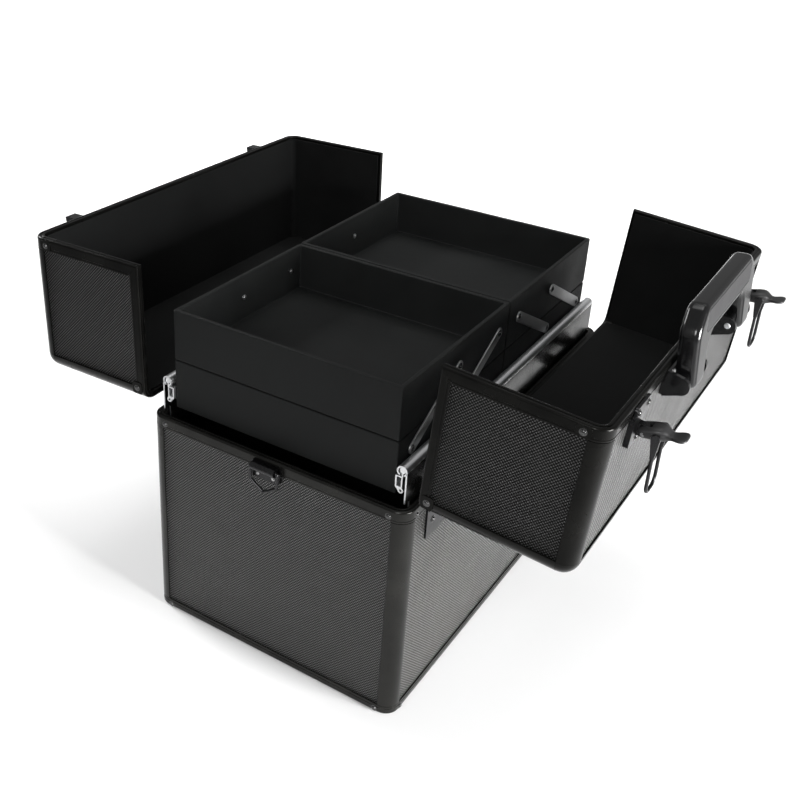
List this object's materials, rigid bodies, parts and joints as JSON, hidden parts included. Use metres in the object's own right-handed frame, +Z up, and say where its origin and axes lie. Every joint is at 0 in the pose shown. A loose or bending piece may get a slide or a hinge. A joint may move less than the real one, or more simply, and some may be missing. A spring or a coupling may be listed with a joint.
{
  "type": "makeup train case",
  "caption": "Framed black beauty case with a deep body, split lids hinged along both long sides, cantilever trays on side rails, draw latches and a carrying handle.",
  "frame": {"origin": "middle of the underside of the body", "axes": "+Z up, +Y along the length of the case, +X toward the lid that carries the handle and latches"},
  "size_m": [0.5207, 0.3754, 0.341],
  "materials": {
    "textured_panel": "black embossed diamond texture, glossy",
    "lining": "matte black",
    "frame": "black anodised, satin",
    "bare_aluminium": "raw extruded",
    "leatherette": "matte black leatherette over board",
    "gloss_plastic": "moulded black",
    "soft_pad": "soft black inset",
    "steel_hardware": "dark plated steel"
  },
  "bodies": {
    "body": {"body_near_panel": "textured_panel", "body_far_panel": "textured_panel", "body_left_panel": "textured_panel", "body_right_panel": "textured_panel", "body_floor_panel": "textured_panel", "body_near_left_post": "frame", "body_near_right_post": "frame", "body_far_left_post": "frame", "body_far_right_post": "frame", "body_rim_frame": "frame", "body_base_frame": "frame", "body_lining": "lining", "left_tray_rail": "frame", "right_tray_rail": "frame", "near_strap_plate": "steel_hardware", "far_strap_plate": "steel_hardware", "near_left_hinge_body_leaf": "steel_hardware", "far_left_hinge_body_leaf": "steel_hardware", "near_right_hinge_body_leaf": "steel_hardware", "far_right_hinge_body_leaf": "steel_hardware"},
    "left_lid": {"left_lid_shell": "textured_panel", "left_lid_frame": "frame", "left_lid_lining": "lining", "near_left_hinge_lid_leaf": "steel_hardware", "far_left_hinge_lid_leaf": "steel_hardware", "near_catch": "steel_hardware", "far_catch": "steel_hardware"},
    "right_lid": {"right_lid_shell": "textured_panel", "right_lid_frame": "frame", "right_lid_lining": "lining", "near_right_hinge_lid_leaf": "steel_hardware", "far_right_hinge_lid_leaf": "steel_hardware", "near_handle_bracket": "gloss_plastic", "far_handle_bracket": "gloss_plastic", "near_latch_base": "steel_hardware", "far_latch_base": "steel_hardware"},
    "handle": {"handle_grip": "gloss_plastic", "handle_pad": "soft_pad"},
    "near_latch_lever": {"near_latch_lever": "gloss_plastic"},
    "near_latch_bail": {"near_latch_bail": "steel_hardware"},
    "near_strap_ring": {"near_strap_ring": "steel_hardware"},
    "far_latch_lever": {"far_latch_lever": "gloss_plastic"},
    "far_latch_bail": {"far_latch_bail": "steel_hardware"},
    "far_strap_ring": {"far_strap_ring": "steel_hardware"},
    "near_lower_tray": {"near_lower_tray": "leatherette", "near_left_tray_hanger": "bare_aluminium", "near_right_tray_hanger": "bare_aluminium"},
    "near_outer_links": {"near_outer_link_left": "steel_hardware", "near_outer_link_right": "steel_hardware"},
    "near_inner_links": {"near_inner_link_left": "steel_hardware", "near_inner_link_right": "steel_hardware"},
    "near_upper_tray": {"near_upper_tray": "leatherette"},
    "far_lower_tray": {"far_lower_tray": "leatherette", "far_left_tray_hanger": "bare_aluminium", "far_right_tray_hanger": "bare_aluminium"},
    "far_outer_links": {"far_outer_link_left": "steel_hardware", "far_outer_link_right": "steel_hardware"},
    "far_inner_links": {"far_inner_link_left": "steel_hardware", "far_inner_link_right": "steel_hardware"},
    "far_upper_tray": {"far_upper_tray": "leatherette"}
  },
  "joints": [
    {"name": "left_lid_hinge", "type": "hinge", "parent": "body", "child": "left_lid", "pos_m": [-0.1215, 0, 0.19], "axis": [0, -1, 0], "range_deg": [-91.1, 0]},
    {"name": "right_lid_hinge", "type": "hinge", "parent": "body", "child": "right_lid", "pos_m": [0.1215, 0, 0.19], "axis": [0, 1, 0], "range_deg": [-94.4, 0]},
    {"name": "handle_pivot", "type": "hinge", "parent": "right_lid", "child": "handle", "pos_m": [0.25158, 0, 0.29032], "axis": [0, -1, 0], "range_deg": [-180, 0]},
    {"name": "near_latch_lever_pivot", "type": "hinge", "parent": "right_lid", "child": "near_latch_lever", "pos_m": [0.24699, -0.125, 0.28014], "axis": [0, -1, 0], "range_deg": [-100, 0]},
    {"name": "near_latch_bail_pivot", "type": "hinge", "parent": "near_latch_lever", "child": "near_latch_bail", "pos_m": [0.25594, -0.125, 0.28102], "axis": [0, -1, 0], "range_deg": [0, 276.4]},
    {"name": "near_strap_ring_pivot", "type": "hinge", "parent": "body", "child": "near_strap_ring", "pos_m": [-0.0025, -0.1843, 0.183], "axis": [1, 0, 0], "range_deg": [-165, 0]},
    {"name": "far_latch_lever_pivot", "type": "hinge", "parent": "right_lid", "child": "far_latch_lever", "pos_m": [0.24699, 0.125, 0.28014], "axis": [0, -1, 0], "range_deg": [-100, 0]},
    {"name": "far_latch_bail_pivot", "type": "hinge", "parent": "far_latch_lever", "child": "far_latch_bail", "pos_m": [0.25594, 0.125, 0.28102], "axis": [0, -1, 0], "range_deg": [0, 276.4]},
    {"name": "far_strap_ring_pivot", "type": "hinge", "parent": "body", "child": "far_strap_ring", "pos_m": [-0.0025, 0.1843, 0.183], "axis": [-1, 0, 0], "range_deg": [-165, 0]},
    {"name": "near_lower_tray_slide", "type": "slide", "parent": "body", "child": "near_lower_tray", "axis": [0, -1, 0], "range_m": [0, 0.12]},
    {"name": "near_outer_links_pivot", "type": "hinge", "parent": "near_lower_tray", "child": "near_outer_links", "pos_m": [0, -0.1505, 0.2235], "axis": [1, 0, 0], "range_deg": [0, 122]},
    {"name": "near_inner_links_pivot", "type": "hinge", "parent": "near_lower_tray", "child": "near_inner_links", "pos_m": [0, -0.084, 0.2235], "axis": [1, 0, 0], "range_deg": [0, 122]},
    {"name": "near_upper_tray_pivot", "type": "hinge", "parent": "near_outer_links", "child": "near_upper_tray", "pos_m": [0, -0.085, 0.2595], "axis": [1, 0, 0], "range_deg": [-122, 0]},
    {"name": "far_lower_tray_slide", "type": "slide", "parent": "body", "child": "far_lower_tray", "axis": [0, 1, 0], "range_m": [0, 0.12]},
    {"name": "far_outer_links_pivot", "type": "hinge", "parent": "far_lower_tray", "child": "far_outer_links", "pos_m": [0, 0.1505, 0.2235], "axis": [-1, 0, 0], "range_deg": [0, 122]},
    {"name": "far_inner_links_pivot", "type": "hinge", "parent": "far_lower_tray", "child": "far_inner_links", "pos_m": [0, 0.084, 0.2235], "axis": [-1, 0, 0], "range_deg": [0, 122]},
    {"name": "far_upper_tray_pivot", "type": "hinge", "parent": "far_outer_links", "child": "far_upper_tray", "pos_m": [0, 0.085, 0.2595], "axis": [-1, 0, 0], "range_deg": [-122, 0]}
  ],
  "couplings": [
    {"joint": "near_latch_bail_pivot", "follows": "near_latch_lever_pivot", "ratio": -2.764},
    {"joint": "far_latch_bail_pivot", "follows": "far_latch_lever_pivot", "ratio": -2.764},
    {"joint": "near_inner_links_pivot", "follows": "near_outer_links_pivot", "ratio": 1},
    {"joint": "near_upper_tray_pivot", "follows": "near_outer_links_pivot", "ratio": -1},
    {"joint": "far_inner_links_pivot", "follows": "far_outer_links_pivot", "ratio": 1},
    {"joint": "far_upper_tray_pivot", "follows": "far_outer_links_pivot", "ratio": -1}
  ]
}
